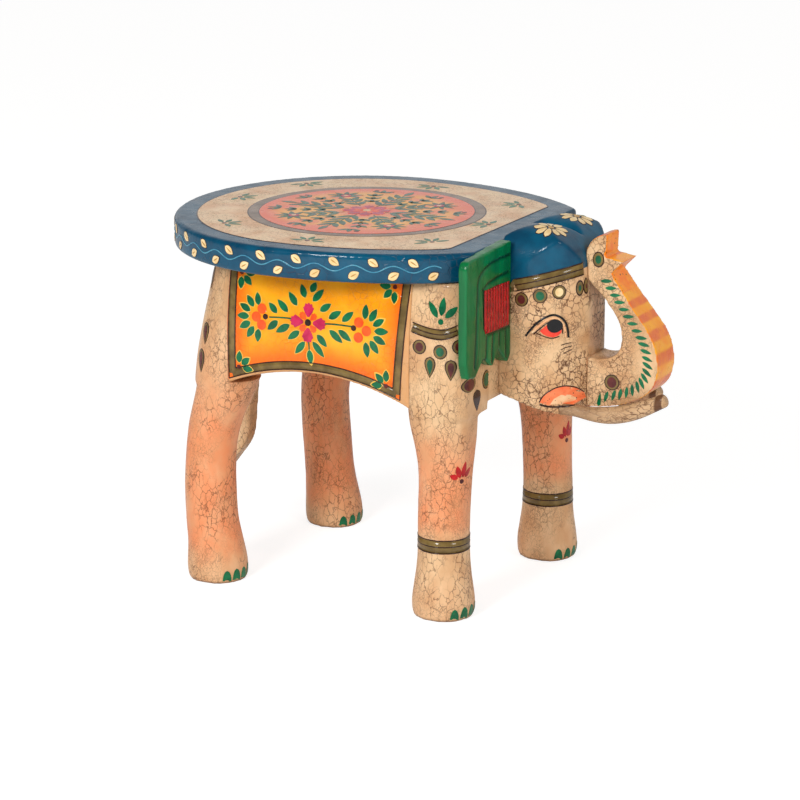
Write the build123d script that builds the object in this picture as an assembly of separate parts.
"""Carved wooden elephant stool: a glued-up body on four posts, with a seat board, head, trunk and ears.

X runs from the tail to the trunk, Y to the animal's left and Z up, in millimetres.
The model is drawn with X = 0 under the middle of the body and is moved at the end, so that the
origin is on the floor under the middle of the whole stool.
"""

from build123d import *
import math
import os

# ---- seat board
SEAT_HEIGHT = 300.0          # floor to the top of the seat
SEAT_THICKNESS = 23.5
SEAT_HALF_WIDTH = 152.0
SEAT_WIDEST_X = -27.0        # where the egg-shaped seat is widest
SEAT_REAR_REACH = 148.0      # from the widest line back to the rear edge
SEAT_FRONT_REACH = 198.0     # from the widest line to where the front ellipse would close
SEAT_EDGE_ROUND = 2.5
SEAT_UNDERSIDE = SEAT_HEIGHT - SEAT_THICKNESS

# ---- body
BODY_FRONT_X = 127.0         # flat front of the body, also the straight front of the seat
BODY_REAR_X = -125.5         # rump, at its lower edge
BODY_HALF_WIDTH = 115.0      # at its widest
FRONT_POST_LENGTH = 44.0     # glue lines between the flank and the posts, from the body's two ends
REAR_POST_LENGTH = 43.5
POST_INNER_Y = BODY_HALF_WIDTH - 49.0    # glue line between the posts and the middle blocks
BODY_HEIGHT = 101.5          # from the seat down to the underside of the chest and rump blocks
BLOCK_BOTTOM = SEAT_UNDERSIDE - BODY_HEIGHT
POST_CLEAR = 2.0             # the posts are cut flat from this far below the blocks
SADDLE_RELIEF = 2.0          # the saddle cloth stands this far out of the body
POST_FRONT_X = BODY_FRONT_X - FRONT_POST_LENGTH
POST_REAR_X = BODY_REAR_X + REAR_POST_LENGTH
ARCH_REAR_Z = BLOCK_BOTTOM + 0.5
ARCH_FRONT_Z = BLOCK_BOTTOM - 0.5
ARCH_TOP_Z = BLOCK_BOTTOM + 17.5
ARCH_TOP_X = -5.0
# plan of the body at four heights: height, rear X, half width, rear corner, front corner
BODY_PLAN = [
    (BLOCK_BOTTOM - 7.0, BODY_REAR_X, BODY_HALF_WIDTH - 1.5, 23.5, 16.0),
    (BLOCK_BOTTOM + 0.25 * BODY_HEIGHT, BODY_REAR_X + 3.0, BODY_HALF_WIDTH, 29.0, 18.0),
    (BLOCK_BOTTOM + 0.64 * BODY_HEIGHT, BODY_REAR_X + 8.0, BODY_HALF_WIDTH - 2.0, 37.0, 18.0),
    (SEAT_UNDERSIDE, BODY_REAR_X + 13.5, BODY_HALF_WIDTH - 7.0, 40.0, 18.0),
]

# ---- legs: height, centre X, centre Y, length along X, width along Y, corner round
FRONT_LEG_X = BODY_FRONT_X - 24.5
REAR_LEG_X = BODY_REAR_X + 20.5
LEG_Y = BODY_HALF_WIDTH - 27.0
FRONT_LEG = [
    (0.0, FRONT_LEG_X, LEG_Y, 47.0, 46.5, 22.5),
    (0.08 * BLOCK_BOTTOM, FRONT_LEG_X, LEG_Y, 50.0, 49.0, 23.5),
    (0.206 * BLOCK_BOTTOM, FRONT_LEG_X, LEG_Y, 44.5, 44.5, 22.0),
    (0.366 * BLOCK_BOTTOM, FRONT_LEG_X, LEG_Y, 41.5, 41.5, 20.5),
    (0.571 * BLOCK_BOTTOM, FRONT_LEG_X, LEG_Y, 41.5, 41.5, 20.0),
    (BLOCK_BOTTOM - 47.0, FRONT_LEG_X, LEG_Y, 44.0, 43.0, 20.0),
    (BLOCK_BOTTOM - 23.0, FRONT_LEG_X - 1.5, LEG_Y + 1.0, 49.5, 45.5, 19.0),
    (BLOCK_BOTTOM - 5.0, FRONT_LEG_X - 3.0, LEG_Y + 1.5, 53.0, 44.0, 18.0),
    (BLOCK_BOTTOM + 13.0, FRONT_LEG_X - 4.5, LEG_Y + 1.0, 54.5, 43.0, 18.0),
]
REAR_LEG = [
    (0.0, REAR_LEG_X, LEG_Y, 47.0, 46.0, 22.0),
    (0.069 * BLOCK_BOTTOM, REAR_LEG_X - 0.5, LEG_Y, 49.5, 48.5, 23.3),
    (0.206 * BLOCK_BOTTOM, REAR_LEG_X - 3.0, LEG_Y, 45.0, 44.5, 21.8),
    (0.377 * BLOCK_BOTTOM, REAR_LEG_X - 6.0, LEG_Y, 42.5, 42.5, 20.8),
    (0.56 * BLOCK_BOTTOM, REAR_LEG_X - 7.0, LEG_Y, 41.5, 41.5, 20.0),
    (BLOCK_BOTTOM - 49.0, REAR_LEG_X - 5.0, LEG_Y, 42.0, 42.0, 20.0),
    (BLOCK_BOTTOM - 25.0, REAR_LEG_X + 2.0, LEG_Y + 0.6, 45.0, 44.5, 19.0),
    (BLOCK_BOTTOM - 7.0, REAR_LEG_X + 8.0, LEG_Y + 2.0, 50.5, 43.5, 21.0),
    (BLOCK_BOTTOM + 9.0, REAR_LEG_X + 15.5, LEG_Y + 1.0, 59.0, 42.0, 20.0),
]
# hand carving set each foot a little forward (first value) and outward (second) of its table
FRONT_RIGHT_OFFSET = (-3.0, 0.0)
FRONT_LEFT_OFFSET = (5.5, 0.0)
REAR_RIGHT_OFFSET = (-3.5, 4.5)
REAR_LEFT_OFFSET = (9.0, -5.0)
FULL_OFFSET_HEIGHT = 0.43 * BLOCK_BOTTOM    # the whole offset below this height, none at the body

# ---- head
HEAD_LENGTH = 63.0           # from the body to the flat pad that the trunk is glued to
HEAD_FRONT_X = BODY_FRONT_X + HEAD_LENGTH
HEAD_HALF_WIDTH = 48.0
HEAD_ROUND_X = HEAD_FRONT_X - 42.0   # the sides are straight up to here, then round in to the nose
HEAD_ROUND_REACH = 44.0
HEAD_BOTTOM = BLOCK_BOTTOM - 15.0
HEAD_BACK_BOTTOM = BLOCK_BOTTOM + 1.5
CHIN_LENGTH, CHIN_RISE = 7.0, 5.0    # bevel under the chin
DOME_TOP = SEAT_HEIGHT + 11.0
DOME_Y = 21.0                # middle line of each forehead dome
DOME_RADIUS = 27.0
CROWN_X = HEAD_FRONT_X - 40.0        # highest point of the domes
CROWN_BACK_DROP = 8.0        # the domes are this much lower where they meet the seat
CROWN_FRONT_X = HEAD_FRONT_X - 18.0
CROWN_FRONT_DROP = 6.0
BROW_BACK = 4.0              # the brow stands back from the trunk pad, and drops to its top
BROW_DROP = 25.0
PAD_DROP = 61.0

# ---- trunk
TRUNK_THICKNESS = 34.0
TRUNK_TIP_THICKNESS = 24.0
TRUNK_REACH = 60.2           # from the head to the front of the outer bend
TRUNK_FRONT_X = HEAD_FRONT_X + TRUNK_REACH
TRUNK_BOTTOM = HEAD_BOTTOM + 6.5
TRUNK_TOP = DOME_TOP - 5.0
TRUNK_TAPER_Z = TRUNK_TOP - 74.0     # the trunk is full thickness up to here
LOOP_BOTTOM = TRUNK_BOTTOM + 40.5    # lower edge of the opening between trunk and head
# outer bend: distance behind TRUNK_FRONT_X and height over TRUNK_BOTTOM
TRUNK_OUTER_BEND = [(43.0, 2.0), (19.5, 9.5), (5.0, 20.5), (0.0, 39.5), (6.0, 61.5), (19.5, 79.5),
                    (35.2, 99.5)]
# edge of the opening: distance in front of the head and height over LOOP_BOTTOM
TRUNK_LOOP_EDGE = [(8.0, 53.0), (20.0, 40.0), (28.5, 22.5), (25.5, 6.5), (14.0, 0.0)]
# forked tip: distance in front of the head and height below TRUNK_TOP
THROAT, FINGER, MOUTH, LIP = (17.5, 30.0), (27.5, 20.0), (11.5, 17.5), (13.0, 0.0)
BACK_OF_TIP = [(5.0, 2.0), (-3.0, 10.0)]

# ---- ears
EAR_TOP = SEAT_HEIGHT + 2.0
EAR_LENGTH = 99.0
EAR_BOTTOM = EAR_TOP - EAR_LENGTH
EAR_OUTER_Y = 119.0
EAR_ROOT_THICKNESS = 10.5
EAR_EDGE_THICKNESS = 7.0
EAR_TOP_FALL = 4.5           # the top edge falls this much from the head outward
RIGHT_EAR_CORNER = 6.0       # the two ears were shaped a little differently by hand
LEFT_EAR_CORNER = 28.0
LEFT_EAR_TRIM = 3.5          # the left ear is this much smaller at its top and outer edge
# ragged lower end: share of the ear's width and height over EAR_BOTTOM
EAR_RAGS = [(1.0, 13.0), (0.94, 1.5), (0.80, 0.0), (0.60, 13.5), (0.40, 3.5), (0.27, 16.0),
            (0.06, 1.5), (0.0, 7.0)]

# ---- tusks, drawn on the left side of the head
TUSK_ROOT_RADIUS = 4.8
TUSK_BELLY_RADIUS = 6.9
TUSK_TIP_RADIUS = 5.4
TUSK_END_ROUND = 3.0
TUSK_SOCKET_DEPTH = 16.0
TUSK_EXIT = (HEAD_FRONT_X - 5.0, HEAD_HALF_WIDTH - 16.0, HEAD_BOTTOM + 6.5)
RIGHT_TUSK_REACH = (77.5, -5.0, 17.5)    # from the exit to the tip
LEFT_TUSK_REACH = (49.0, -4.0, 8.5)
TUSK_SAG = 8.0               # how far the middle of the tusk hangs below a straight line

# ---- tail
TAIL_THICKNESS = 14.0
TAIL_GROOVE_X = BODY_REAR_X + 8.5    # floor of the groove in the rump that the tail is let into
TAIL_TOP = BLOCK_BOTTOM + 57.0
TAIL_ROOT_DROP = 3.0         # the tail fills its groove to just below the rump
TAIL_END = (34.0, -111.0)    # distance behind the groove, and height over BLOCK_BOTTOM
# edges below the rump: distance behind the groove, and height over BLOCK_BOTTOM
TAIL_FRONT_EDGE = [(7.0, -17.0), (8.4, -33.0), (10.8, -61.0), (14.5, -83.0), (25.0, -99.0)]
TAIL_BACK_EDGE = [(39.5, -103.0), (35.0, -71.0), (28.0, -27.0), (21.0, 20.0), (12.0, 51.0)]

# ---- hidden joints
GLUE_GAP = 0.05              # radial room for glue round each dowel and tusk
DOWEL_END_GAP = 0.2          # a blind hole is this much deeper than its dowel
SEAT_DOWEL_RADIUS = 6.0
SEAT_DOWEL_UP = 13.0
SEAT_DOWEL_DOWN = 27.0
BODY_DOWEL_RADIUS = 5.0
BODY_DOWEL_REACH = 14.0      # into each of the two blocks
HEAD_DOWEL_RADIUS = 6.0
HEAD_DOWEL_REACH = 20.0
TRUNK_DOWEL_RADIUS = 4.0
TRUNK_DOWEL_REACH = 14.0
EAR_DOWEL_RADIUS = 3.0
EAR_DOWEL_IN_EAR = 5.0
EAR_DOWEL_IN_POST = 12.0
TAIL_DOWEL_RADIUS = 3.0
TAIL_DOWEL_IN_TAIL = 8.0
TAIL_DOWEL_IN_RUMP = 14.0
# places of the dowels
FRONT_DOWEL_X = POST_FRONT_X + 21.0
REAR_DOWEL_X = POST_REAR_X - 20.0
SEAT_DOWEL_Y = POST_INNER_Y + 19.0
FLANK_DOWEL_Y = POST_INNER_Y + 25.0
CORE_DOWEL_Y = POST_INNER_Y - 32.0
EAR_DOWEL_Y = POST_INNER_Y + 16.0
LOW_ROW = BLOCK_BOTTOM + 0.30 * BODY_HEIGHT
HIGH_ROW = BLOCK_BOTTOM + 0.57 * BODY_HEIGHT
CROSS_ROW_RISE = 10.0        # the posts' cross dowels pass above the flank dowels
CORE_ROW_DROP = 8.0
EAR_ROW_RISE = 20.0
TRUNK_DOWEL_HEIGHTS = (13.0, 32.0)   # over TRUNK_BOTTOM
TAIL_DOWEL_MARGIN = (10.0, 14.0)     # over the rump's underside, and below the tail's top

FAR = 400.0                  # larger than the stool, for cutting boxes
LEFT, RIGHT = 1, -1
FORWARD, UP = (1, 0, 0), (0, 0, 1)


def to_side(solid, side):
    """Pieces are drawn on the left; the right one is its mirror image."""
    return solid if side == LEFT else mirror(solid, about=Plane.XZ)


def block(x_range, y_range, z_range):
    """A box between two values along each axis."""
    (x0, x1), (y0, y1), (z0, z1) = x_range, y_range, z_range
    middle = Pos((x0 + x1) / 2, (y0 + y1) / 2, (z0 + z1) / 2)
    return middle * Box(x1 - x0, y1 - y0, z1 - z0)


def peg(start, end, radius):
    """A round peg from one point to another."""
    start, end = Vector(*start), Vector(*end)
    plane = Plane(origin=start, z_dir=end - start)
    return extrude(plane * Circle(radius), (end - start).length)


def dowel_and_hole(start, end, radius):
    """A dowel and the slightly larger hole that it is glued into."""
    direction = (Vector(*end) - Vector(*start)).normalized() * DOWEL_END_GAP
    hole_start = tuple(Vector(*start) - direction)
    hole_end = tuple(Vector(*end) + direction)
    return peg(start, end, radius), peg(hole_start, hole_end, radius + GLUE_GAP)


def side_face(edges):
    """A face in the XZ plane from edges drawn with X and Z as the two coordinates."""
    return Plane.XZ * make_face(edges)


# ---------------------------------------------------------------- seat
def seat_outline():
    """Egg-shaped outline: a rear and a front half ellipse, with the front cut straight."""
    room = 2 * FAR
    rear = Ellipse(SEAT_REAR_REACH, SEAT_HALF_WIDTH) & Pos(-FAR, 0) * Rectangle(room, room)
    front_length = BODY_FRONT_X - SEAT_WIDEST_X
    front_window = Pos(front_length / 2, 0) * Rectangle(front_length, room)
    front = Ellipse(SEAT_FRONT_REACH, SEAT_HALF_WIDTH) & front_window
    return Pos(SEAT_WIDEST_X, 0) * (rear + front)


def make_seat():
    board = extrude(Pos(0, 0, SEAT_UNDERSIDE) * seat_outline(), SEAT_THICKNESS)
    rims = board.edges().filter_by(lambda edge: abs(edge.bounding_box().size.Z) < 0.01)
    curved = rims.filter_by(lambda edge: edge.center().X < BODY_FRONT_X - 1)
    return fillet(curved, SEAT_EDGE_ROUND)


# ---------------------------------------------------------------- body
def body_section(height, rear_x, half_width, rear_round, front_round):
    corners = [(rear_x, -half_width), (BODY_FRONT_X, -half_width),
               (BODY_FRONT_X, half_width), (rear_x, half_width)]
    outline = Polygon(*corners, align=None)
    outline = fillet(outline.vertices().group_by(Axis.X)[0], rear_round)
    outline = fillet(outline.vertices().group_by(Axis.X)[-1], front_round)
    return Pos(0, 0, height) * outline


def make_barrel(extra_width=0.0):
    """The rounded body before it is divided into blocks."""
    sections = [body_section(height, rear_x, half_width + extra_width, rear_round, front_round)
                for height, rear_x, half_width, rear_round, front_round in BODY_PLAN]
    return loft(sections)


def make_arch_window():
    """Everything between the two flank glue lines and above the arch."""
    arch = ThreePointArc((POST_REAR_X, ARCH_REAR_Z), (ARCH_TOP_X, ARCH_TOP_Z),
                         (POST_FRONT_X, ARCH_FRONT_Z))
    rest = Polyline((POST_FRONT_X, ARCH_FRONT_Z), (POST_FRONT_X, FAR), (POST_REAR_X, FAR),
                    (POST_REAR_X, ARCH_REAR_Z))
    return extrude(side_face([arch, rest]), FAR, both=True)


def make_leg(sections, offset):
    """A lofted leg whose lower part is moved by its own offset."""
    forward, outward = offset
    top = sections[-1][0]
    outlines = []
    for height, x, y, length, width, corner in sections:
        share = min(1.0, (top - height) / (top - FULL_OFFSET_HEIGHT))
        place = Pos(x + share * forward, y + share * outward, height)
        outlines.append(place * RectangleRounded(length, width, corner))
    return loft(outlines)


def make_post(leg, x_range, barrel, arch_window):
    """A corner post: the leg with the corner of the body above it."""
    corner = barrel & block(x_range, (POST_INNER_Y, FAR), (0, FAR))
    middle_room = block((-FAR, FAR), (-FAR, POST_INNER_Y), (BLOCK_BOTTOM - POST_CLEAR, FAR))
    return (leg + corner) - arch_window - middle_room


def make_body():
    barrel = make_barrel()
    saddle_barrel = make_barrel(SADDLE_RELIEF)
    window = make_arch_window()
    middle = (POST_REAR_X, POST_FRONT_X)
    front, rear = (POST_FRONT_X, FAR), (-FAR, POST_REAR_X)
    inner = (-POST_INNER_Y, POST_INNER_Y)
    above = (BLOCK_BOTTOM, FAR)
    flank = saddle_barrel & window & block(middle, (POST_INNER_Y, FAR), (0, FAR))
    nodes = {
        "core_block": barrel & window & block(middle, inner, (0, FAR)),
        "chest_block": barrel & block(front, inner, above),
        "rump_block": barrel & block(rear, inner, above),
    }
    corners = [
        ("front_right", FRONT_LEG, FRONT_RIGHT_OFFSET, front, RIGHT),
        ("front_left", FRONT_LEG, FRONT_LEFT_OFFSET, front, LEFT),
        ("rear_right", REAR_LEG, REAR_RIGHT_OFFSET, rear, RIGHT),
        ("rear_left", REAR_LEG, REAR_LEFT_OFFSET, rear, LEFT),
    ]
    for name, sections, offset, x_range, side in corners:
        post = make_post(make_leg(sections, offset), x_range, barrel, window)
        nodes[f"post_{name}"] = to_side(post, side)
    nodes["flank_right"] = to_side(flank, RIGHT)
    nodes["flank_left"] = flank
    return nodes


# ---------------------------------------------------------------- head and trunk
def head_side_view():
    """Profile seen from the side, from the neck over the domes to the chin."""
    back_top = (BODY_FRONT_X, DOME_TOP - CROWN_BACK_DROP)
    brow_top = (HEAD_FRONT_X - BROW_BACK, DOME_TOP - BROW_DROP)
    pad_top = (HEAD_FRONT_X, DOME_TOP - PAD_DROP)
    pad_bottom = (HEAD_FRONT_X, HEAD_BOTTOM + CHIN_RISE)
    chin = (HEAD_FRONT_X - CHIN_LENGTH, HEAD_BOTTOM)
    neck = (BODY_FRONT_X, HEAD_BACK_BOTTOM)
    crown = Spline(back_top, (CROWN_X, DOME_TOP), (CROWN_FRONT_X, DOME_TOP - CROWN_FRONT_DROP),
                   brow_top)
    face_and_jaw = Polyline(brow_top, pad_top, pad_bottom, chin, neck, back_top)
    return extrude(side_face([crown, face_and_jaw]), FAR, both=True)


def head_top_view():
    """Plan of the head: straight sides and an elliptical nose."""
    nose = Pos(HEAD_ROUND_X, 0) * Ellipse(HEAD_ROUND_REACH, HEAD_HALF_WIDTH)
    length = HEAD_ROUND_X - BODY_FRONT_X
    cheeks = Pos(BODY_FRONT_X + length / 2, 0) * Rectangle(length, 2 * HEAD_HALF_WIDTH)
    return extrude(cheeks + (nose & Pos(FAR, 0) * Rectangle(2 * (FAR - BODY_FRONT_X), FAR)), FAR)


def head_front_view():
    """Front profile: upright sides below two domes with a valley between them."""
    dome_middle = DOME_TOP - DOME_RADIUS
    sides = Pos(0, dome_middle / 2) * Rectangle(2 * HEAD_HALF_WIDTH, dome_middle)
    domes = [Pos(side * DOME_Y, dome_middle) * Circle(DOME_RADIUS) for side in (LEFT, RIGHT)]
    return extrude(Plane.YZ * (sides + domes), FAR)


def make_head():
    return head_side_view() & head_top_view() & head_front_view()


def brow_line(height):
    """X of the head's front edge between the brow and the trunk pad."""
    share = (height - (DOME_TOP - PAD_DROP)) / (PAD_DROP - BROW_DROP)
    return HEAD_FRONT_X - BROW_BACK * share


def trunk_profile():
    """Side profile of the trunk plank: root, outer bend, forked tip and inner edge."""
    root_top = (HEAD_FRONT_X, LOOP_BOTTOM)
    root_bottom = (HEAD_FRONT_X, TRUNK_BOTTOM)
    throat, finger, mouth, lip = [(HEAD_FRONT_X + ahead, TRUNK_TOP - drop)
                                  for ahead, drop in (THROAT, FINGER, MOUTH, LIP)]
    bend = [(TRUNK_FRONT_X - back, TRUNK_BOTTOM + rise) for back, rise in TRUNK_OUTER_BEND]
    behind_tip = [(HEAD_FRONT_X + ahead, TRUNK_TOP - drop) for ahead, drop in BACK_OF_TIP]
    loop = [(HEAD_FRONT_X + ahead, LOOP_BOTTOM + rise) for ahead, rise in TRUNK_LOOP_EDGE]
    brow_high_z = DOME_TOP - BROW_DROP - 1.0
    brow_low_z = brow_high_z - 15.5
    brow_high = (brow_line(brow_high_z), brow_high_z)
    brow_low = (brow_line(brow_low_z), brow_low_z)
    outer = Spline(root_bottom, *bend, throat)
    tip = Polyline(throat, finger, mouth, lip)
    back = Spline(lip, *behind_tip, brow_high)
    touch = Line(brow_high, brow_low)
    inner = Spline(brow_low, *loop, root_top)
    seam = Line(root_top, root_bottom)
    return side_face([outer, tip, back, touch, inner, seam])


def trunk_front_view():
    """Front profile: full thickness at the root, thinner towards the tip."""
    half, tip_half = TRUNK_THICKNESS / 2, TRUNK_TIP_THICKNESS / 2
    top = TRUNK_TOP + SEAT_EDGE_ROUND
    outline = Polygon((-half, 0), (half, 0), (half, TRUNK_TAPER_Z), (tip_half, top),
                      (-tip_half, top), (-half, TRUNK_TAPER_Z), align=None)
    return extrude(Plane.YZ * outline, FAR, dir=FORWARD)


def make_trunk():
    return extrude(trunk_profile(), TRUNK_THICKNESS, both=True) & trunk_front_view()


# ---------------------------------------------------------------- ears, tusks and tail
def make_ear(top, outer_y, corner_round):
    """A left ear: thick at the head, thin at its edge, with a ragged lower end."""
    inner_y = HEAD_HALF_WIDTH
    reach = outer_y - inner_y
    lower = [(inner_y + share * reach, EAR_BOTTOM + rise) for share, rise in EAR_RAGS]
    outline = Polygon((inner_y, top), (outer_y, top - EAR_TOP_FALL), *lower, align=None)
    corner = outline.vertices().sort_by(Axis.Y)[-2:].sort_by(Axis.X)[-1]
    outline = fillet(corner, corner_round)
    plate = extrude(Plane.YZ.offset(BODY_FRONT_X) * outline, EAR_ROOT_THICKNESS, dir=FORWARD)
    root_x = BODY_FRONT_X + EAR_ROOT_THICKNESS
    edge_x = BODY_FRONT_X + EAR_EDGE_THICKNESS
    wedge = Polygon((BODY_FRONT_X, inner_y), (root_x, inner_y), (edge_x, outer_y),
                    (BODY_FRONT_X, outer_y), align=None)
    return plate & extrude(wedge, FAR, dir=UP)


def tusk_point(reach, share):
    """A point on the tusk's middle line, from its exit (0) to its tip (1)."""
    straight = Vector(*TUSK_EXIT) + Vector(*reach) * share
    return straight - Vector(0, 0, TUSK_SAG * math.sin(math.pi * share))


def make_tusk(reach):
    """A left tusk with a straight round tenon behind its exit."""
    radii = [TUSK_ROOT_RADIUS, (TUSK_ROOT_RADIUS + TUSK_BELLY_RADIUS) / 2, TUSK_BELLY_RADIUS,
             TUSK_BELLY_RADIUS, (TUSK_BELLY_RADIUS + TUSK_TIP_RADIUS) / 2, TUSK_TIP_RADIUS]
    step = 0.01
    sections = []
    for number, radius in enumerate(radii):
        share = number / (len(radii) - 1)
        here = tusk_point(reach, share)
        ahead = tusk_point(reach, share + step) - tusk_point(reach, share - step)
        direction = Vector(*FORWARD) if number == 0 else ahead
        sections.append(Plane(origin=here, z_dir=direction) * Circle(radius))
    exit_x, exit_y, exit_z = TUSK_EXIT
    tenon = peg((exit_x - TUSK_SOCKET_DEPTH, exit_y, exit_z), TUSK_EXIT, TUSK_ROOT_RADIUS)
    tusk = loft(sections) + tenon
    end_ring = tusk.edges().sort_by(Axis.X)[-1]
    return fillet(end_ring, TUSK_END_ROUND)


def tusk_socket():
    exit_x, exit_y, exit_z = TUSK_EXIT
    start = (exit_x - TUSK_SOCKET_DEPTH - DOWEL_END_GAP, exit_y, exit_z)
    end = (exit_x + TUSK_SOCKET_DEPTH, exit_y, exit_z)
    return peg(start, end, TUSK_ROOT_RADIUS + GLUE_GAP)


def make_tail():
    """A flat tail let into the rump; its lower end sweeps back."""
    top = (TAIL_GROOVE_X, TAIL_TOP)
    under = (TAIL_GROOVE_X, BLOCK_BOTTOM - TAIL_ROOT_DROP)
    end, *front_edge = [(TAIL_GROOVE_X - behind, BLOCK_BOTTOM + rise)
                        for behind, rise in [TAIL_END] + TAIL_FRONT_EDGE]
    back_edge = [(TAIL_GROOVE_X - behind, BLOCK_BOTTOM + rise) for behind, rise in TAIL_BACK_EDGE]
    front = Spline(under, *front_edge, end)
    back = Spline(end, *back_edge, top)
    groove = Line(top, under)
    return extrude(side_face([front, back, groove]), TAIL_THICKNESS / 2, both=True)


def tail_groove():
    half = TAIL_THICKNESS / 2
    return block((-FAR, TAIL_GROOVE_X), (-half, half), (0, TAIL_TOP + GLUE_GAP))


# ---------------------------------------------------------------- dowels
def both_sides(points):
    """Repeat pairs of end points on the other side of the stool."""
    flipped = [tuple((x, -y, z) for x, y, z in pair) for pair in points]
    return list(points) + flipped


def along_x(x, y, z, back, ahead):
    """End points of a dowel that crosses the glue line at x."""
    return (x - back, y, z), (x + ahead, y, z)


def dowel_places():
    """Name, radius, end points and the nodes that each group of dowels joins."""
    posts = [f"post_{end}_{side}" for end in ("front", "rear") for side in ("right", "left")]
    front_posts = posts[:2]
    middle_blocks = ["chest_block", "rump_block"]
    reach = BODY_DOWEL_REACH
    rows = (LOW_ROW, HIGH_ROW)
    glue_lines = (POST_REAR_X, POST_FRONT_X)
    post_middles = (FRONT_DOWEL_X, REAR_DOWEL_X)
    seat = [((x, SEAT_DOWEL_Y, SEAT_UNDERSIDE - SEAT_DOWEL_DOWN),
             (x, SEAT_DOWEL_Y, SEAT_UNDERSIDE + SEAT_DOWEL_UP)) for x in post_middles]
    flank = [along_x(x, FLANK_DOWEL_Y, z, reach, reach) for x in glue_lines for z in rows]
    ends = [((x, POST_INNER_Y - reach, z + CROSS_ROW_RISE), (x, POST_INNER_Y + reach, z + CROSS_ROW_RISE))
            for x in post_middles for z in rows]
    core = [along_x(x, CORE_DOWEL_Y, HIGH_ROW - CORE_ROW_DROP, reach, reach) for x in glue_lines]
    head = [along_x(BODY_FRONT_X, 0, z, HEAD_DOWEL_REACH, HEAD_DOWEL_REACH) for z in rows]
    trunk = [along_x(HEAD_FRONT_X, 0, TRUNK_BOTTOM + rise, TRUNK_DOWEL_REACH, TRUNK_DOWEL_REACH)
             for rise in TRUNK_DOWEL_HEIGHTS]
    ear = [along_x(BODY_FRONT_X, EAR_DOWEL_Y, z + EAR_ROW_RISE, EAR_DOWEL_IN_POST, EAR_DOWEL_IN_EAR)
           for z in rows]
    tail_heights = (BLOCK_BOTTOM + TAIL_DOWEL_MARGIN[0], TAIL_TOP - TAIL_DOWEL_MARGIN[1])
    tail = [along_x(TAIL_GROOVE_X, 0, z, TAIL_DOWEL_IN_TAIL, TAIL_DOWEL_IN_RUMP)
            for z in tail_heights]
    return [
        ("seat_dowels", SEAT_DOWEL_RADIUS, both_sides(seat), posts + ["seat_board"]),
        ("flank_dowels", BODY_DOWEL_RADIUS, both_sides(flank), posts + ["flank_right", "flank_left"]),
        ("end_dowels", BODY_DOWEL_RADIUS, both_sides(ends), posts + middle_blocks),
        ("core_dowels", BODY_DOWEL_RADIUS, both_sides(core), ["core_block"] + middle_blocks),
        ("head_dowels", HEAD_DOWEL_RADIUS, head, ["chest_block", "head"]),
        ("trunk_dowels", TRUNK_DOWEL_RADIUS, trunk, ["head", "trunk"]),
        ("ear_dowels", EAR_DOWEL_RADIUS, both_sides(ear), ["ear_right", "ear_left"] + front_posts),
        ("tail_dowels", TAIL_DOWEL_RADIUS, tail, ["tail", "rump_block"]),
    ]


def fit_dowels(nodes):
    """Add each group of dowels and drill its holes in the pieces that it joins."""
    for name, radius, places, joined in dowel_places():
        pairs = [dowel_and_hole(start, end, radius) for start, end in places]
        for piece in joined:
            for _, hole in pairs:
                nodes[piece] = nodes[piece] - hole
        nodes[name] = Part() + [dowel for dowel, _ in pairs]


# ---------------------------------------------------------------- assembly
def make_stool():
    nodes = {"seat_board": make_seat()}
    nodes.update(make_body())
    nodes["rump_block"] = nodes["rump_block"] - tail_groove()
    nodes["head"] = make_head() - tusk_socket() - to_side(tusk_socket(), RIGHT)
    nodes["trunk"] = make_trunk() - nodes["head"]
    nodes["ear_right"] = to_side(make_ear(EAR_TOP, EAR_OUTER_Y, RIGHT_EAR_CORNER), RIGHT)
    nodes["ear_left"] = make_ear(EAR_TOP - LEFT_EAR_TRIM, EAR_OUTER_Y - LEFT_EAR_TRIM, LEFT_EAR_CORNER)
    nodes["tusk_right"] = to_side(make_tusk(RIGHT_TUSK_REACH), RIGHT)
    nodes["tusk_left"] = make_tusk(LEFT_TUSK_REACH)
    nodes["tail"] = make_tail()
    fit_dowels(nodes)
    return nodes


def middle_x(nodes):
    """X of the middle of the stool's footprint box."""
    boxes = [node.bounding_box() for node in nodes.values()]
    return (min(box.min.X for box in boxes) + max(box.max.X for box in boxes)) / 2


def main():
    nodes = make_stool()
    shift = Pos(-middle_x(nodes), 0, 0)
    print("moved along X by", round(-middle_x(nodes), 3))
    os.makedirs("parts", exist_ok=True)
    for name, node in nodes.items():
        export_step(shift * node, f"parts/{name}.step")
        print(name, round(node.volume), "mm3")


main()
